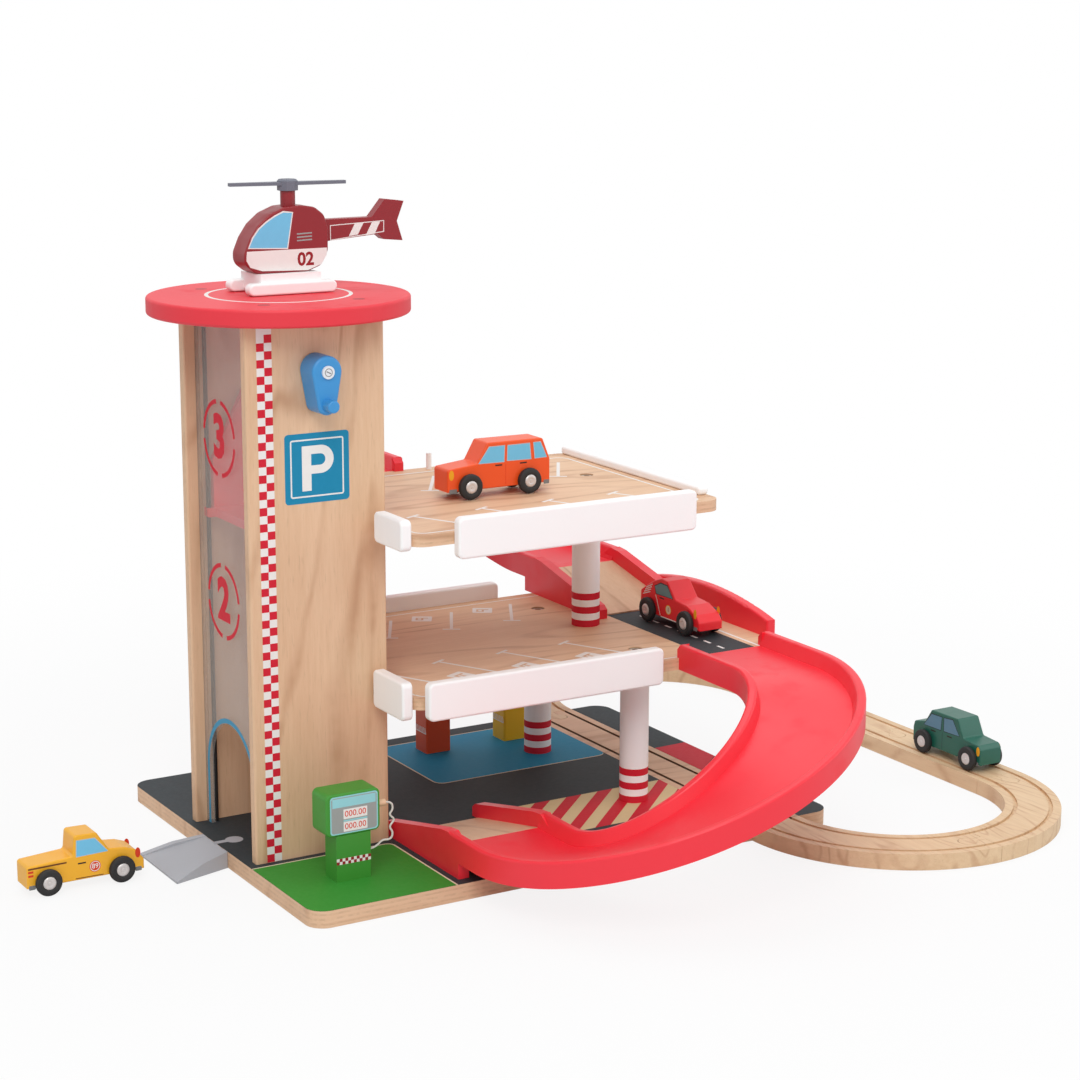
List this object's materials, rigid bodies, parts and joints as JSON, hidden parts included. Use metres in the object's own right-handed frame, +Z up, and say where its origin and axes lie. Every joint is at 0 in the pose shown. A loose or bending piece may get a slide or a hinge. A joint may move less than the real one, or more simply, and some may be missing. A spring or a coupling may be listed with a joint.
{
  "type": "toy parking garage with lift",
  "caption": "Wooden toy parking garage: lift tower with crank and helipad, two decks on columns, curved ramps, base board, road loop, fuel pumps, helicopter and cars.",
  "frame": {"origin": "centre of the base board's underside", "axes": "+Z up, +X along the board from the lift tower to the road loop, +Y away from the fuel pump side"},
  "size_m": [0.7232, 0.5955, 0.4615],
  "materials": {
    "natural_wood": "satin lacquer",
    "track_wood": "sanded",
    "red_paint": "satin paint",
    "white_paint": "satin paint",
    "blue_paint": "satin paint",
    "green_paint": "satin paint",
    "dark_green_paint": "satin paint",
    "orange_paint": "satin paint",
    "yellow_paint": "satin paint",
    "maroon_paint": "satin paint",
    "grey_paint": "satin paint",
    "grey_plastic": "matte",
    "white_plastic": "gloss",
    "black_rubber": "matte",
    "clear_window": "clear",
    "bright_metal": "bright",
    "dark_metal": "satin",
    "cord_fabric": "braided"
  },
  "bodies": {
    "garage": {"access_ramp": "grey_paint", "base_board": "natural_wood", "curved_ramp_lower": "red_paint", "curved_ramp_upper": "red_paint", "deck_lower": "natural_wood", "deck_upper": "natural_wood", "green_pump_head": "green_paint", "green_pump_stem": "green_paint", "helipad": "red_paint", "helipad_dowels": "red_paint", "lift_guide_rod": "dark_metal", "lower_back_rail": "white_paint", "lower_columns": "white_paint", "lower_corner_rail": "white_paint", "lower_front_rail": "white_paint", "orange_pump": "orange_paint", "ramp_bed_lower": "natural_wood", "ramp_bed_upper": "natural_wood", "road_guard": "red_paint", "screw_plugs": "bright_metal", "tower_back_wall": "natural_wood", "tower_front_wall": "natural_wood", "tower_window": "clear_window", "track_curve_back_left": "track_wood", "track_curve_back_right": "track_wood", "track_curve_front_left": "track_wood", "track_curve_front_right": "track_wood", "track_straight_back": "track_wood", "track_straight_front": "track_wood", "upper_column": "white_paint", "upper_corner_rail": "white_paint", "upper_end_rail": "white_paint", "upper_front_rail": "white_paint", "upper_peg": "white_paint", "yellow_pump": "yellow_paint"},
    "lift": {"lift_floor": "red_paint", "lift_sides": "red_paint", "lift_top_bar": "red_paint", "lift_cord": "cord_fabric"},
    "crank": {"crank_handle": "blue_paint", "crank_knob": "blue_paint", "crank_spindle": "white_plastic"},
    "nozzle": {"green_pump_nozzle": "natural_wood", "pump_hose": "cord_fabric"},
    "helicopter": {"heli_body": "maroon_paint", "heli_skids": "white_paint"},
    "rotor": {"heli_rotor": "grey_plastic"},
    "orange_car": {"orange_car_body": "orange_paint"},
    "orange_car_front_axle": {"orange_car_front_wheels": "black_rubber"},
    "orange_car_rear_axle": {"orange_car_rear_wheels": "black_rubber"},
    "red_car": {"red_car_body": "red_paint"},
    "red_car_front_axle": {"red_car_front_wheels": "black_rubber"},
    "red_car_rear_axle": {"red_car_rear_wheels": "black_rubber"},
    "green_car": {"green_car_body": "dark_green_paint"},
    "green_car_front_axle": {"green_car_front_wheels": "black_rubber"},
    "green_car_rear_axle": {"green_car_rear_wheels": "black_rubber"},
    "yellow_car": {"yellow_car_body": "yellow_paint"},
    "yellow_car_front_axle": {"yellow_car_front_wheels": "black_rubber"},
    "yellow_car_rear_axle": {"yellow_car_rear_wheels": "black_rubber"}
  },
  "joints": [
    {"name": "lift_slide", "type": "slide", "parent": "garage", "child": "lift", "axis": [0, 0, 1], "range_m": [-0.2195, 0], "deforming": ["lift_cord"]},
    {"name": "crank_turn", "type": "hinge", "parent": "garage", "child": "crank", "pos_m": [-0.15, -0.06, 0.3438], "axis": [0, 1, 0], "range_deg": [0, 1446]},
    {"name": "nozzle_pull", "type": "slide", "parent": "garage", "child": "nozzle", "axis": [1, 0, 0], "range_m": [0, 0.0085]},
    {"name": "helicopter_lift_off", "type": "slide", "parent": "garage", "child": "helicopter", "axis": [0, 0, 1], "range_m": [0, 0.08]},
    {"name": "rotor_spin", "type": "hinge", "parent": "helicopter", "child": "rotor", "pos_m": [-0.136, 0.012, 0.4575], "axis": [0, 0, 1], "continuous": true},
    {"name": "orange_car_roll", "type": "slide", "parent": "garage", "child": "orange_car", "axis": [-1, 0, 0], "range_m": [-0.05, 0.07]},
    {"name": "orange_car_front_wheel_turn", "type": "hinge", "parent": "orange_car", "child": "orange_car_front_axle", "pos_m": [-0.0176, -0.0124, 0.2469], "axis": [0, -1, 0], "range_deg": [-316, 442]},
    {"name": "orange_car_rear_wheel_turn", "type": "hinge", "parent": "orange_car", "child": "orange_car_rear_axle", "pos_m": [0.03, -0.0124, 0.2469], "axis": [0, -1, 0], "range_deg": [-316, 442]},
    {"name": "red_car_roll", "type": "slide", "parent": "garage", "child": "red_car", "axis": [0, -1, 0], "range_m": [-0.015, 0.05]},
    {"name": "red_car_front_wheel_turn", "type": "hinge", "parent": "red_car", "child": "red_car_front_axle", "pos_m": [0.158, -0.0524, 0.1339], "axis": [1, 0, 0], "range_deg": [-96, 316]},
    {"name": "red_car_rear_wheel_turn", "type": "hinge", "parent": "red_car", "child": "red_car_rear_axle", "pos_m": [0.158, -0.0027, 0.1339], "axis": [1, 0, 0], "range_deg": [-96, 316]},
    {"name": "green_car_roll", "type": "slide", "parent": "garage", "child": "green_car", "axis": [0, -1, 0], "range_m": [-0.2, 0]},
    {"name": "green_car_front_wheel_turn", "type": "hinge", "parent": "green_car", "child": "green_car_front_axle", "pos_m": [0.361, -0.1342, 0.0209], "axis": [1, 0, 0], "range_deg": [-1261, 0]},
    {"name": "green_car_rear_wheel_turn", "type": "hinge", "parent": "green_car", "child": "green_car_rear_axle", "pos_m": [0.361, -0.0822, 0.0209], "axis": [1, 0, 0], "range_deg": [-1261, 0]},
    {"name": "yellow_car_roll", "type": "slide", "parent": "garage", "child": "yellow_car", "axis": [1, 0, 0], "range_m": [-0.1, 0.01]},
    {"name": "yellow_car_front_wheel_turn", "type": "hinge", "parent": "yellow_car", "child": "yellow_car_front_axle", "pos_m": [-0.277, 0.003, 0.0091], "axis": [0, 1, 0], "range_deg": [-631, 64]},
    {"name": "yellow_car_rear_wheel_turn", "type": "hinge", "parent": "yellow_car", "child": "yellow_car_rear_axle", "pos_m": [-0.3282, 0.003, 0.0091], "axis": [0, 1, 0], "range_deg": [-631, 64]}
  ],
  "couplings": [
    {"joint": "crank_turn", "follows": "lift_slide", "rad_per_m": -114.94},
    {"joint": "orange_car_front_wheel_turn", "follows": "orange_car_roll", "rad_per_m": 109.89},
    {"joint": "orange_car_rear_wheel_turn", "follows": "orange_car_roll", "rad_per_m": 109.89},
    {"joint": "red_car_front_wheel_turn", "follows": "red_car_roll", "rad_per_m": 109.89},
    {"joint": "red_car_rear_wheel_turn", "follows": "red_car_roll", "rad_per_m": 109.89},
    {"joint": "green_car_front_wheel_turn", "follows": "green_car_roll", "rad_per_m": 109.89},
    {"joint": "green_car_rear_wheel_turn", "follows": "green_car_roll", "rad_per_m": 109.89},
    {"joint": "yellow_car_front_wheel_turn", "follows": "yellow_car_roll", "rad_per_m": 109.89},
    {"joint": "yellow_car_rear_wheel_turn", "follows": "yellow_car_roll", "rad_per_m": 109.89}
  ]
}
